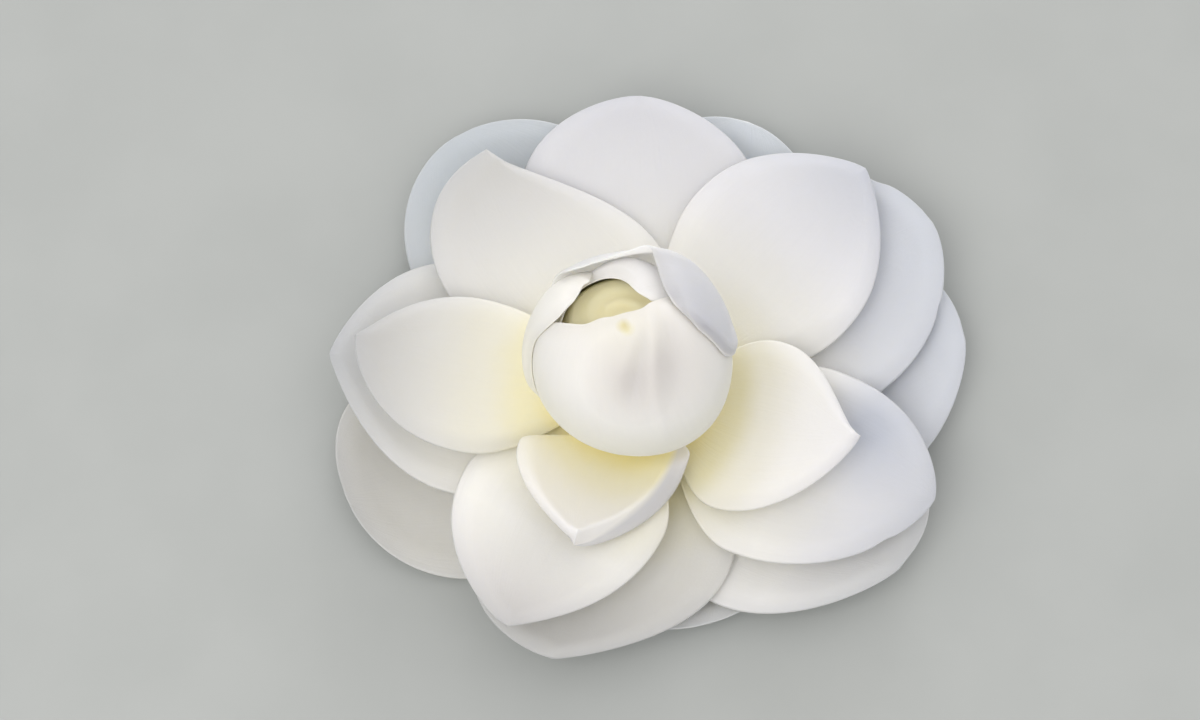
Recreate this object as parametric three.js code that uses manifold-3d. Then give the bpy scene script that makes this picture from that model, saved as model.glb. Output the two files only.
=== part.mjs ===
// A half-open formal double camellia, cut from its plant and lying face up.
// Millimetres, +Z up. The flower's front is -Y. The origin is on the surface that it rests
// on, under the middle of its box. All shapes are worked out round the flower's own axis
// and moved there at the end. Angles named az are degrees from +X, counterclockwise.
import * as THREE from 'three';
import { mergeVertices } from 'three/addons/utils/BufferGeometryUtils.js';
import Module from 'manifold-3d';

const wasm = await Module();
wasm.setup();

// Middle of the flower's box, from its axis
const MIDDLE_X = 1.385;
const MIDDLE_Y = 3.851;

// Petal blades
const EDGE_THICK = 0.62; // at the margins
const FOOT_THICK = 0.75; // at the foot
const GAP = 0.3; // clear space between neighbours
const FOOT_RADIUS = 4.4; // feet stand this far from the axis
const FOOT_HALF_WIDTH = 2.7;
const FOOT_LOWEST = 6.6; // height of the lowest ring of feet
const FOOT_STEP = 1.0; // rise of the feet per level
const PETAL_ROWS = 16; // foot to tip
const PETAL_COLUMNS = 8; // margin to margin

// How a lower petal gives way under a higher one
const PRESS_SOFTNESS = 1.2;
const ROOF_SOFTNESS = 0.8;
const OPEN_SKY = 100; // roof height where nothing is above
const RELEASE_BEND = [3.5, 14]; // radius at which it rises again beside one, at foot and middle
const FOOT_RELEASE_BEND = 1; // and behind its foot
const STEEPEST = 2; // slope up to which a blade's drop keeps its thickness

// The bud of closed petals on the axis
const BUD_CENTRE = new THREE.Vector3(-0.6, -2.9, 28.6);
const BUD_LEAN = 30; // degrees that its opening leans from straight up
const BUD_LEAN_AZ = 133;
const BUD_LOW_SQUASH = 0.93; // its lower half is this much shorter than a ball
const BUD_REACH = 17.2; // radius that the open petals leave it below
const BUD_FOOT_ANGLE = 160; // where its petals end below, from the top
const BUD_ROWS = 12;
const BUD_COLUMNS = 16;
const BUD_PETAL_THICK = 0.65;
const BUD_LOW_PART = [110, 150]; // angles over which its petals take on their low radius
const BUD_BOW = { angle: 62, width: 26 }; // where a side is drawn back, and how far along it
const HEART_RADIUS = 12.2;
const HEART_RIM_ANGLE = 44;
const HEART_BOWL_DEPTH = 2;
const HEART_FULL_SIDE = { az: 160, width: 40, radius: 1.1 }; // where it is fuller, up to its rim

// Receptacle, sepals and cut stalk under the petals
const COLUMN_RADIUS = 4.1;
const COLUMN_FOOT = 3.2;
const COLUMN_TOP = 15;
const COLUMN_SIDES = 24;
const NECK_RADIUS = 4;
const NECK_TOP = 16.8;
const STALK_RADIUS = 1.7;
const STALK_TOP = 2.3;
const STALK_END = 0.7;
const SEPAL_FOOT_RADIUS = 1.5;
const SEPAL_HEIGHTS = [4.5, 2.8]; // of their upper faces at foot and reach of the upper row
const SEPAL_SOFTNESS = 0.5;
const SEPAL_STEPS = 5;
const SEPAL_ROWS = [
  { count: 5, firstAz: 20, reach: 13, half: 6.4, under: 0 },
  { count: 5, firstAz: 56, reach: 9.4, half: 5, under: 0.4 },
];

const WHITE = { color: 0xf3f2ec, roughness: 0.55, metalness: 0 };
const CREAM = { color: 0xf1eed8, roughness: 0.55, metalness: 0 };
const YELLOW = { color: 0xe3cf6a, roughness: 0.6, metalness: 0 };
const GREEN = { color: 0x7d8a48, roughness: 0.6, metalness: 0 };

// Open petals, highest first. left and right are [half width, where it is widest, fullness
// towards the tip, and how long it stays narrow at the foot] of the two sides; a fullness
// under 0.5 is blunt, over 1 comes to a point.
// sag is how far the middle hangs below foot and tip, cup how far the margins stand up at
// [foot, tip], lip how far the outermost part of the margin rolls down, and fold how much
// further the left margin is folded down.
const PETALS = [
  { name: 'petal_cup_front', az: 250, reach: 29.6, sweep: 0, left: [11.5, 0.25, 0.95, 1.15],
    right: [13.4, 0.5, 1.12, 5], level: 8, tip: 20.6, sag: 2.8, cup: [5, 5], lip: 1.6, fold: 2.8 },
  { name: 'petal_inner_left', az: 178, reach: 44, sweep: -5, left: [14.4, 0.6, 0.52],
    right: [11.4, 0.5, 1.05], level: 7, tip: 17, sag: 2, cup: [0.5, 1.5], lip: 0.8 },
  { name: 'petal_inner_front', az: 242, reach: 44.6, sweep: 1, left: [14.4, 0.4, 1],
    right: [17.4, 0.5, 0.7], level: 6, tip: 16, sag: 2, cup: [0.5, 1.5], lip: 0.8 },
  { name: 'petal_inner_right', az: -22, reach: 34.5, sweep: 3.5, left: [14, 0.42, 1.5],
    right: [15.3, 0.45, 0.74], level: 5, tip: 16, sag: 1.5, cup: [0.5, 1.5], lip: 0.8 },
  { name: 'petal_middle_right', az: -25, reach: 48.2, sweep: 2, left: [15.4, 0.5, 0.7],
    right: [18.4, 0.42, 0.67], level: 4, tip: 12, sag: 2, cup: [0.4, 1.2], lip: 0.8 },
  { name: 'petal_inner_back_right', az: 43, reach: 51, sweep: 2.5, left: [17.6, 0.55, 0.8],
    right: [15.3, 0.55, 0.84], level: 4, tip: 13, sag: 2, cup: [0.4, 1.2], lip: 0.8 },
  { name: 'petal_inner_back_left', az: 124, reach: 46.3, sweep: -2, left: [16.9, 0.6, 0.42],
    right: [16.2, 0.28, 1.45], level: 3.5, tip: 14, sag: 2, cup: [0.4, 1.2], lip: 0.8 },
  { name: 'petal_middle_back', az: 88, reach: 50.4, sweep: 1.5, left: [19.6, 0.6, 0.6],
    right: [18.6, 0.6, 0.62], level: 2.8, tip: 11, sag: 2.5, cup: [0.4, 1.2], lip: 0.8 },
  { name: 'petal_middle_front', az: 256, reach: 44.7, sweep: -2.7, left: [20.6, 0.45, 0.9],
    right: [17.5, 0.6, 0.58], level: 3, tip: 9, sag: 2.5, cup: [0.4, 1.2], lip: 0.8 },
  { name: 'petal_outer_right', az: 31, reach: 54.6, sweep: 1, left: [19.2, 0.6, 0.5],
    right: [18.8, 0.5, 0.62], level: 2, tip: 9, sag: 2.5, cup: [0.4, 1.2], lip: 0.8 },
  { name: 'petal_middle_left', az: 176, reach: 48.5, sweep: -2.5, left: [18.8, 0.5, 0.88],
    right: [19.4, 0.55, 0.8], level: 2, tip: 11, sag: 2.5, cup: [0.4, 1.2], lip: 0.8 },
  { name: 'petal_outer_front_right', az: -40, reach: 48, sweep: 4, left: [18, 0.6, 0.4],
    right: [19.8, 0.5, 0.75], level: 2, tip: 7, sag: 2.5, cup: [0.4, 1.2], lip: 0.8 },
  { name: 'petal_guard_back_left', az: 122, reach: 54.2, sweep: 1, left: [19, 0.55, 0.56],
    right: [19.5, 0.6, 0.48], level: 1, tip: 6, sag: 3.5, cup: [0.3, 1], lip: 0.6 },
  { name: 'petal_guard_right', az: 8, reach: 51.9, sweep: 3, left: [19, 0.6, 0.45],
    right: [20, 0.55, 0.67], level: 1, tip: 6, sag: 3.5, cup: [0.3, 1], lip: 0.6 },
  { name: 'petal_guard_back', az: 69, reach: 51.6, sweep: 1, left: [17.4, 0.6, 0.5],
    right: [17, 0.6, 0.5], level: 0, tip: 5, sag: 5.3, cup: [0.3, 1], lip: 0.6 },
  { name: 'petal_guard_left', az: 201, reach: 48, sweep: -2, left: [18.2, 0.55, 0.48],
    right: [19.5, 0.6, 0.45], level: 0, tip: 5, sag: 5.3, cup: [0.3, 1], lip: 0.6 },
  { name: 'petal_guard_front', az: 286, reach: 37.4, sweep: 0, left: [16, 0.6, 0.5],
    right: [16, 0.6, 0.5], level: 0, tip: 5, sag: 5.3, cup: [0.3, 1], lip: 0.6 },
];

const rad = (degrees) => (degrees * Math.PI) / 180;
const clamp = (v, low, high) => Math.min(Math.max(v, low), high);
const mix = (a, b, f) => a + (b - a) * f;
const smooth = (low, high, v) => THREE.MathUtils.smoothstep(v, low, high);
const bell = (off, width) => Math.exp(-((off / width) ** 2));

function softMin(a, b, softness) {
  const h = clamp(0.5 + (0.5 * (b - a)) / softness, 0, 1);
  return mix(b, a, h) - softness * h * (1 - h);
}

// Half width of a petal's side at s, where 0 is the foot and 1 the tip
function halfWidth([widest, where, fullness, narrow = 1.15], s) {
  if (s < where) {
    const rise = Math.sin((Math.PI / 2) * clamp(s / where, 0, 1)) ** narrow;
    return mix(FOOT_HALF_WIDTH, widest, rise);
  }
  const u = (s - where) / (1 - where);
  return widest * Math.max(1 - u ** 2.2, 0) ** fullness;
}

// A plan point in a petal's own terms: s along it, q across from its midline, edge, which
// is 1 on the outline, turn, 0 on its right and 1 on its left, and release, how much a petal
// below may rise there outside it
function petalTerms(petal, x, y) {
  const a = rad(petal.az);
  const along = x * Math.cos(a) + y * Math.sin(a);
  const s = (along - FOOT_RADIUS) / (petal.reach - FOOT_RADIUS);
  const held = clamp(s, -0.1, 1.15);
  const across = y * Math.cos(a) - x * Math.sin(a) - petal.sweep * held * held;
  const turn = smooth(-2, 2, across);
  const side = petal.left.map((value, i) => mix(petal.right[i], value, turn));
  const [widest, where, fullness] = side;
  const width = halfWidth(side, clamp(s, 0, where));
  const q = Math.abs(across) / widest;
  let edge = Math.abs(across) / width;
  if (s > where) {
    edge = (q ** (1 / fullness) + ((s - where) / (1 - where)) ** 2.2) ** fullness;
  }
  const beside = Math.max((edge - 1) * width, 0);
  const behind = Math.max(FOOT_RADIUS - along, 0);
  const bend = mix(...RELEASE_BEND, smooth(0.05, 0.5, s));
  const release = (beside * beside) / (2 * bend) + (behind * behind) / (2 * FOOT_RELEASE_BEND);
  return { s: held, q, edge, turn, release };
}

// Height of a petal's upper face where nothing presses on it
function freeHeight(petal, { s, q, edge, turn }) {
  const foot = FOOT_LOWEST + FOOT_STEP * petal.level;
  const run = mix(foot, petal.tip, s) - petal.sag * 4 * s * (1 - s);
  const cup = mix(...petal.cup, clamp(s, 0, 1)) * Math.min(q, 1.2) ** 2;
  const rim = smooth(0.1, 0.45, s) * clamp((edge - 0.78) / 0.22, 0, 1);
  const roll = petal.lip * rim * rim + (petal.fold ?? 0) * rim * turn;
  return run + cup - roll;
}

function petalThickness(s, q) {
  return mix(EDGE_THICK, FOOT_THICK, clamp(1 - s, 0, 1) * clamp(1 - q * q, 0, 1));
}

// Underside of the bud, which the open petals stay clear of
function budUnderside(x, y) {
  const r = Math.hypot(x - BUD_CENTRE.x, y - BUD_CENTRE.y) / BUD_REACH;
  if (r >= 1) return OPEN_SKY;
  return BUD_CENTRE.z - BUD_REACH * BUD_LOW_SQUASH * Math.sqrt(1 - r * r);
}

// Passes down through the first petals of the list at a plan point. Each gives way to the
// undersides of those over it. Returns the last one's upper and lower face heights and the
// roof that all of them together leave for what lies below.
function passDown(count, x, y) {
  const step = 0.05;
  const spots = [[x, y], [x + step, y], [x, y + step]];
  let roof = spots.map(([px, py]) => budUnderside(px, py) - GAP);
  let faces;
  for (const petal of PETALS.slice(0, count)) {
    const terms = spots.map(([px, py]) => petalTerms(petal, px, py));
    const upper = terms.map((t, i) => softMin(freeHeight(petal, t), roof[i], PRESS_SOFTNESS));
    const slope = Math.hypot(upper[1] - upper[0], upper[2] - upper[0]) / step;
    const drop = petalThickness(terms[0].s, terms[0].q) * Math.hypot(1, Math.min(slope, STEEPEST));
    faces = [upper[0], upper[0] - drop];
    const room = terms.map(({ release }, i) => upper[i] - drop - GAP + release);
    roof = roof.map((height, i) => softMin(height, room[i], ROOF_SOFTNESS));
  }
  return { faces, roof: roof[0] };
}

// A petal that would reach into the surface lies flat on it
function petalFaces(number, x, y) {
  const { faces: [upper, lower] } = passDown(number + 1, x, y);
  const rest = Math.max(lower, 0);
  return [Math.max(upper, rest + EDGE_THICK), rest];
}

// A closed blade from a grid of points on two faces. pointOf gets the way along (0 to 1),
// the way across (-1 to 1) and the face (0 outer or upper, 1 inner or lower).
function bladeGeometry(rows, columns, pointed, pointOf) {
  const positions = [];
  const faces = [0, 1].map((face) => {
    const grid = [];
    for (let i = 0; i <= rows; i++) {
      const line = [];
      for (let j = 0; j <= columns; j++) {
        if (pointed && i === rows && j > 0) {
          line.push(line[0]);
          continue;
        }
        positions.push(...pointOf(i / rows, (2 * j) / columns - 1, face));
        line.push(positions.length / 3 - 1);
      }
      grid.push(line);
    }
    return grid;
  });
  const index = [];
  const triangle = (a, b, c) => {
    if (a !== b && b !== c && c !== a) index.push(a, b, c);
  };
  const quad = (a, b, c, d, flip) => {
    if (flip) {
      triangle(a, b, d);
      triangle(b, c, d);
    } else {
      triangle(a, b, c);
      triangle(a, c, d);
    }
  };
  const [over, under] = faces;
  for (let i = 0; i < rows; i++) {
    for (let j = 0; j < columns; j++) {
      const flip = j < columns / 2;
      quad(over[i][j], over[i + 1][j], over[i + 1][j + 1], over[i][j + 1], flip);
      quad(under[i][j + 1], under[i + 1][j + 1], under[i + 1][j], under[i][j], flip);
    }
  }
  const loop = [];
  for (let j = 0; j < columns; j++) loop.push([0, j]);
  for (let i = 0; i < rows; i++) loop.push([i, columns]);
  if (!pointed) for (let j = columns; j > 0; j--) loop.push([rows, j]);
  else loop.push([rows, 0]);
  for (let i = rows - (pointed ? 1 : 0); i > 0; i--) loop.push([i, 0]);
  loop.forEach(([i, j], n) => {
    const [k, l] = loop[(n + 1) % loop.length];
    quad(over[i][j], over[k][l], under[k][l], under[i][j], false);
  });
  return facingOut(positions, index);
}

function facingOut(positions, index) {
  const geometry = new THREE.BufferGeometry();
  geometry.setAttribute('position', new THREE.Float32BufferAttribute(positions, 3));
  const corner = (n) => new THREE.Vector3().fromArray(positions, 3 * n);
  let volume = 0;
  for (let i = 0; i < index.length; i += 3) {
    const [a, b, c] = [corner(index[i]), corner(index[i + 1]), corner(index[i + 2])];
    volume += a.dot(b.cross(c));
  }
  geometry.setIndex(volume < 0 ? index.reverse() : index);
  return geometry;
}

function openPetal(number) {
  const petal = PETALS[number];
  const a = rad(petal.az);
  return bladeGeometry(PETAL_ROWS, PETAL_COLUMNS, true, (way, across, face) => {
    const s = way - (0.75 * Math.sin(2 * Math.PI * way)) / (2 * Math.PI);
    const side = across > 0 ? petal.left : petal.right;
    const along = mix(FOOT_RADIUS, petal.reach, s);
    const off = petal.sweep * s * s + across * halfWidth(side, s);
    const x = along * Math.cos(a) - off * Math.sin(a);
    const y = along * Math.sin(a) + off * Math.cos(a);
    return [x, y, petalFaces(number, x, y)[face]];
  });
}

// A point of the bud: angle from its opening, az round it, and radius. The lean and the
// bud's shift off the flower's axis fade from the opening down to the foot.
function budPoint(angle, az, radius) {
  const [t, p] = [rad(angle), rad(az)];
  const point = new THREE.Vector3(Math.sin(t) * Math.cos(p), Math.sin(t) * Math.sin(p), Math.cos(t));
  const hinge = new THREE.Vector3(-Math.sin(rad(BUD_LEAN_AZ)), Math.cos(rad(BUD_LEAN_AZ)), 0);
  point.applyAxisAngle(hinge, (rad(BUD_LEAN) * (1 + Math.cos(t))) / 2);
  const shift = smooth(-1, -0.2, point.z);
  point.multiplyScalar(radius);
  if (point.z < 0) point.z *= BUD_LOW_SQUASH;
  return [point.x + BUD_CENTRE.x * shift, point.y + BUD_CENTRE.y * shift, point.z + BUD_CENTRE.z];
}

// Closed petals of the bud, outermost first. margin is a list of [azimuth, angle from the
// opening, radius], belly of [azimuth, radius] at its widest below that, radius is its own low
// down, foot the azimuths of its two sides there and swing the angles between which the sides
// reach them, flare how late the blade turns to its margin's radius, and bow how far its last
// side is drawn back.
const BUD_PETALS = [
  { name: 'bud_back', radius: 15.9, foot: [34, 106], swing: [72, 122], flare: 3, bow: 0,
    belly: [[-14, 15.2], [0, 15.1], [12, 15], [30, 15.2], [60, 15.7], [90, 15.8], [112, 16.5],
      [140, 17.6]],
    margin: [[-14, 55, 15.2], [-8, 43, 15.2], [4, 35.5, 15.2], [20, 31.5, 16], [36, 31, 17.3],
      [50, 31, 18.5], [60, 25, 17.8], [74, 21, 17.3], [92, 18.5, 17.1], [112, 19, 17.2],
      [128, 21, 17.5], [138, 28, 17.6]] },
  { name: 'bud_left', radius: 15.2, foot: [115, 192], swing: [80, 160], flare: 4, bow: -14,
    belly: [[112, 15.3], [124, 15.6], [134, 16.6], [146, 17.4], [162, 17.6], [178, 17.6],
      [188, 17.25], [196, 16.7]],
    margin: [[112, 34, 15.3], [122, 19, 16], [148, 15, 16.3], [176, 17, 16.2], [188, 20, 16.5],
      [196, 29, 16.7]] },
  { name: 'bud_front', radius: 14.4, foot: [160, 385], swing: [80, 160], flare: 6, bow: 0,
    belly: [[150, 15.2], [176, 15.7], [194, 15.7], [212, 15.2], [228, 14.8], [244, 14.5],
      [320, 14.5], [346, 14.1], [370, 14]],
    margin: [[150, 60, 15.2], [168, 48, 15.6], [182, 39, 15.7], [196, 31, 15.8], [210, 26, 15.6],
      [232, 21, 15], [254, 16, 14.7], [286, 15.5, 14.4], [314, 18, 14.4], [334, 23, 14.4],
      [354, 27, 14.1], [370, 36, 14]] },
  { name: 'bud_inner', radius: 13.1, foot: [12, 170], swing: [80, 160], flare: 4, bow: 0,
    belly: [[0, 13.1], [30, 13.1], [46, 14.1], [64, 14.6], [90, 14.8], [104, 14.6], [116, 14.3],
      [140, 14.2], [184, 14.2], [200, 13.4]],
    margin: [[4, 27, 13.1], [18, 21, 13.2], [40, 19, 13.3], [64, 21, 13.4], [90, 24, 13.6], [112, 26, 14],
      [140, 27, 14.6], [165, 30, 14.6], [184, 38, 14.2], [196, 50, 13.5]] },
];

// A soft curve through a few [place, value] points
function smoothLine(points, at) {
  const slopes = points.map((point, n) => {
    const [before, after] = [points[Math.max(n - 1, 0)], points[Math.min(n + 1, points.length - 1)]];
    return (after[1] - before[1]) / (after[0] - before[0]);
  });
  const passed = points.filter(([place]) => place < at).length;
  const n = clamp(passed - 1, 0, points.length - 2);
  const [[from, a], [to, b]] = [points[n], points[n + 1]];
  const f = clamp((at - from) / (to - from), 0, 1);
  const start = (2 * f ** 3 - 3 * f ** 2 + 1) * a + (f ** 3 - 2 * f ** 2 + f) * (to - from) * slopes[n];
  return start + (3 * f ** 2 - 2 * f ** 3) * b + (f ** 3 - f ** 2) * (to - from) * slopes[n + 1];
}

function budPetal(petal) {
  const angles = petal.margin.map(([az, angle]) => [az, angle]);
  const radii = petal.margin.map(([az, , radius]) => [az, radius]);
  const [first, last] = [petal.margin[0][0], petal.margin.at(-1)[0]];
  return bladeGeometry(BUD_ROWS, BUD_COLUMNS, false, (way, across, face) => {
    const turn = (1 + across) / 2;
    const atMargin = mix(first, last, turn);
    const angle = mix(BUD_FOOT_ANGLE, smoothLine(angles, atMargin), way);
    const bow = petal.bow * turn ** 3 * bell(angle - BUD_BOW.angle, BUD_BOW.width);
    const az = mix(atMargin, mix(...petal.foot, turn), smooth(...petal.swing, angle)) + bow;
    const body = mix(smoothLine(petal.belly, atMargin), petal.radius, smooth(...BUD_LOW_PART, angle));
    const radius = mix(body, smoothLine(radii, atMargin), way ** petal.flare);
    return budPoint(angle, az, radius - face * BUD_PETAL_THICK);
  });
}

// The furled middle of the bud, open above in a bowl. Its rings run from below up to the
// rim and on down into the bowl.
function budHeart() {
  const rings = 12;
  const sides = 24;
  const atRim = 0.6;
  const [lowest, innermost] = [172, 5];
  const positions = [];
  const index = [];
  const ringPoint = (n, az) => {
    const f = n / rings;
    const side = HEART_FULL_SIDE.radius * bell(az - HEART_FULL_SIDE.az, HEART_FULL_SIDE.width);
    const radius = HEART_RADIUS + side * smooth(0.25, atRim, f);
    if (f < atRim) return budPoint(mix(lowest, HEART_RIM_ANGLE, f / atRim), az, radius);
    const angle = mix(HEART_RIM_ANGLE, innermost, (f - atRim) / (1 - atRim));
    const bowl = HEART_BOWL_DEPTH * (1 - (angle / HEART_RIM_ANGLE) ** 2.5);
    return budPoint(angle, az, mix(HEART_RADIUS, radius, angle / HEART_RIM_ANGLE) - bowl);
  };
  for (let n = 0; n <= rings; n++) {
    for (let k = 0; k < sides; k++) positions.push(...ringPoint(n, (360 * k) / sides));
  }
  positions.push(...budPoint(180, 0, HEART_RADIUS));
  positions.push(...budPoint(0, 0, HEART_RADIUS - HEART_BOWL_DEPTH));
  const [bottom, top] = [positions.length / 3 - 2, positions.length / 3 - 1];
  for (let k = 0; k < sides; k++) {
    const next = (k + 1) % sides;
    for (let n = 0; n < rings; n++) {
      const [a, b] = [n * sides + k, n * sides + next];
      index.push(a, b, b + sides, a, b + sides, a + sides);
    }
    index.push(bottom, next, k);
    index.push(top, rings * sides + k, rings * sides + next);
  }
  return facingOut(positions, index);
}

function solidOf(geometry) {
  const plain = geometry.clone();
  plain.deleteAttribute('normal');
  plain.deleteAttribute('uv');
  const merged = mergeVertices(plain, 1e-4);
  return new wasm.Manifold(new wasm.Mesh({
    numProp: 3,
    vertProperties: new Float32Array(merged.attributes.position.array),
    triVerts: new Uint32Array(merged.index.array),
  }));
}

function geometryOf(solid) {
  const mesh = solid.getMesh();
  const geometry = new THREE.BufferGeometry();
  geometry.setAttribute('position', new THREE.Float32BufferAttribute(mesh.vertProperties, 3));
  geometry.setIndex(Array.from(mesh.triVerts));
  return geometry;
}

function turned(profile, sides) {
  const points = profile.map(([r, z]) => new THREE.Vector2(r, z));
  return new THREE.LatheGeometry(points, sides).rotateX(Math.PI / 2);
}

function sepalHalfWidth(half, s) {
  if (s < 0.5) return half * mix(0.45, 1, Math.sin(Math.PI * s));
  return half * (1 - (2 * s - 1) ** 2.4) ** 0.5;
}

// A rounded sepal pressed up under the petals; the lower row lies against the upper one
function sepal(row, az) {
  const a = rad(az);
  const longest = SEPAL_ROWS[0].reach;
  return bladeGeometry(SEPAL_STEPS, SEPAL_STEPS, true, (way, across, face) => {
    const s = 1 - (1 - way) ** 1.6;
    const along = mix(SEPAL_FOOT_RADIUS, row.reach, s);
    const off = across * sepalHalfWidth(row.half, s);
    const x = along * Math.cos(a) - off * Math.sin(a);
    const y = along * Math.sin(a) + off * Math.cos(a);
    const out = (Math.hypot(x, y) - SEPAL_FOOT_RADIUS) / (longest - SEPAL_FOOT_RADIUS);
    const upper = softMin(mix(...SEPAL_HEIGHTS, out), passDown(PETALS.length, x, y).roof, SEPAL_SOFTNESS);
    return [x, y, upper - row.under - EDGE_THICK * face];
  });
}

// Receptacle column between the petals' feet, cut stalk and sepals, grown as one
function calyx() {
  const core = turned([
    [0, STALK_END], [STALK_RADIUS, STALK_END], [STALK_RADIUS, STALK_TOP],
    [COLUMN_RADIUS, COLUMN_FOOT], [COLUMN_RADIUS, COLUMN_TOP],
    [NECK_RADIUS, COLUMN_TOP], [NECK_RADIUS, NECK_TOP], [0, NECK_TOP],
  ], COLUMN_SIDES);
  let solid = solidOf(core);
  for (const row of SEPAL_ROWS) {
    for (let n = 0; n < row.count; n++) {
      solid = solid.add(solidOf(sepal(row, row.firstAz + (360 * n) / row.count)));
    }
  }
  return geometryOf(solid);
}

const group = new THREE.Group();

function addMesh(name, geometry, look) {
  geometry.translate(-MIDDLE_X, -MIDDLE_Y, 0);
  const mesh = new THREE.Mesh(geometry, new THREE.MeshStandardMaterial(look));
  mesh.name = name;
  group.add(mesh);
}

PETALS.forEach((petal, number) => addMesh(petal.name, openPetal(number), WHITE));
BUD_PETALS.forEach((petal) => addMesh(petal.name, budPetal(petal), CREAM));
addMesh('bud_heart', budHeart(), YELLOW);
addMesh('calyx', calyx(), GREEN);

export default group;
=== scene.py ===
import math
from collections import namedtuple

import bmesh
import bpy
import numpy as np
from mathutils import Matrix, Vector


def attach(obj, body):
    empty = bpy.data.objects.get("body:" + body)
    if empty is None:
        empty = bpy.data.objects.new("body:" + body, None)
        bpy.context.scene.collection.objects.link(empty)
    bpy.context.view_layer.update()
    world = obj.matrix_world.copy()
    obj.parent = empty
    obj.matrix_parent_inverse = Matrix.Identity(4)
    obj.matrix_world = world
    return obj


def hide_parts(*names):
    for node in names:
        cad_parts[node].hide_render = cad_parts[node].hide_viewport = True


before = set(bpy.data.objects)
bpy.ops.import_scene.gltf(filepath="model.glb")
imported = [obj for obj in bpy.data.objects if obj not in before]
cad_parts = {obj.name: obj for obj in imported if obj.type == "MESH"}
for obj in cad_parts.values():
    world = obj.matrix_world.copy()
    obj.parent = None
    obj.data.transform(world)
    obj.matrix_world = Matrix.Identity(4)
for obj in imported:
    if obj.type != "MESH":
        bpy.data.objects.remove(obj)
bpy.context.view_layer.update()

# Dimensions are the solids' own, in millimetres, but for the furled middle of the bud, which
# is a little fuller here. Meshes are made in metres. Angles named az are degrees from +X,
# counterclockwise.
MM = 0.001
MIDDLE = (1.385, 3.851)  # middle of the flower's box, from its axis

# Petal blades
EDGE_THICK = 0.62  # at the margins
FOOT_THICK = 0.75  # at the foot
GAP = 0.3  # clear space between neighbours
FOOT_RADIUS = 4.4  # feet stand this far from the axis
FOOT_HALF_WIDTH = 2.7
FOOT_NARROW = 1.15  # how long a side stays narrow there, where it doesn't say
FOOT_LOWEST = 6.6  # height of the lowest ring of feet
FOOT_STEP = 1.0  # rise of the feet per level
TIP_CURVE = 2.2  # power of the outline past its widest place
MIDLINE_BLEND = 2  # how far from the midline its two sides blend
ALONG_LIMITS = (-0.1, 1.15)  # how far past foot and tip its formulas go on
ROLL_FROM = 0.78  # share of the half width from which the margin rolls down
ROLL_WIDE = 0.22
ROLL_ALONG = (0.1, 0.45)  # way from foot to tip over which that roll sets in
CUP_ENDS = 1.2  # share of the half width beyond which a cup rises no further
PETAL_ROWS = 60  # foot to tip
PETAL_COLUMNS = 48  # margin to margin
ROW_CROWDING = 0.75  # how much closer rows lie near foot and tip
COLUMN_CROWDING = 0.65  # and columns near both margins

# How a lower petal gives way under a higher one
PRESS_SOFTNESS = 1.2
ROOF_SOFTNESS = 0.8
OPEN_SKY = 100  # roof height where nothing is above
RELEASE_BEND = (3.5, 14)  # radius at which it rises again beside one, at foot and middle
RELEASE_ALONG = (0.05, 0.5)  # way along the higher one over which that radius grows
FOOT_RELEASE_BEND = 1  # radius at which it rises behind the higher one's foot
STEEPEST = 2  # slope up to which a blade's drop keeps its thickness

# Margins of all blades
RIM_ROUND = 0.35  # width of the rounded rim
MARGIN_THIN = 0.45  # share of the thickness left next to the rim
MARGIN_WIDE = 3.5  # width over which a blade thins towards it
NICK_FROM = 0.9  # share of the half width from which a nick draws it in
RIPPLE = 0.16  # height of the ripples along a petal's margin
RIPPLE_ALONG = (0.25, 0.6)  # way from foot to tip over which they set in
RIPPLE_ACROSS = (0.72, 1)  # and share of the half width
# Their rates from foot to tip, shifts from petal to petal and slants across it
RIPPLE_WAVES = [(9, 2.1, 0), (17, 1.3, 2)]

# Bud
BUD_CENTRE = (-0.6, -2.9, 28.6)
BUD_LEAN = 30  # degrees that its opening leans from straight up
BUD_LEAN_AZ = 133
BUD_SHIFT_FADE = (-1, -0.2)  # heights on a unit ball over which it moves off the axis
BUD_LOW_SQUASH = 0.93  # its lower half is this much shorter than a ball
BUD_REACH = 17.2  # radius that the open petals leave it below
BUD_FOOT_ANGLE = 160  # where its petals end below, from the top
BUD_LOW_PART = (110, 150)  # angles over which its petals take on their low radius
BUD_BOW = (62, 26)  # where a side is drawn back, and how far along it
BUD_PETAL_THICK = 0.65
BUD_ROWS = 60
BUD_ROW_CROWDING = 1.5  # how much closer rows lie near the upper margin
BUD_COLUMNS = 84

# Crease down the front petal as (angle, azimuth) points, and the relief beside it. ROUND and
# DOWN are the middle and width of a form in azimuth and in angle, and the groove's and the
# hollow's azimuths are counted from the crease.
CREASE_LINE = [(28, 330), (35, 318), (47, 301), (60, 291), (75, 286)]
CREASE_HIGH = 0.3
CREASE_ROUND = (0, 5)
CREASE_FROM_TOP = (24, 40)  # angles over which it sets in from above
CREASE_FROM_FOOT = (105, 75)  # and from below
GROOVE_DEEP = 1.15
GROOVE_ROUND = (-14, 9)
GROOVE_DOWN = (50, 17)
HOLLOW_DEEP = 1.2
HOLLOW_ROUND = (21, 14)
HOLLOW_DOWN = (48, 21)
CHEEK_HIGH = 0.35
CHEEK_ROUND = (232, 22)
CHEEK_DOWN = (54, 24)
DIMPLE_DEEP = 0.7
DIMPLE = (25, 296)  # angle and azimuth
DIMPLE_WIDE = 5

# How wide a closed petal's rolled margin is, and how far it rolls outward, as (azimuth,
# roll) points
BUD_CURL_WIDE = 2.4
BUD_CURL = {"bud_back": [(-14, -0.35), (8, -0.3), (50, 0.4), (138, 0.3)],
            "bud_left": [(112, -0.3), (170, -0.35), (196, -0.5)]}
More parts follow.
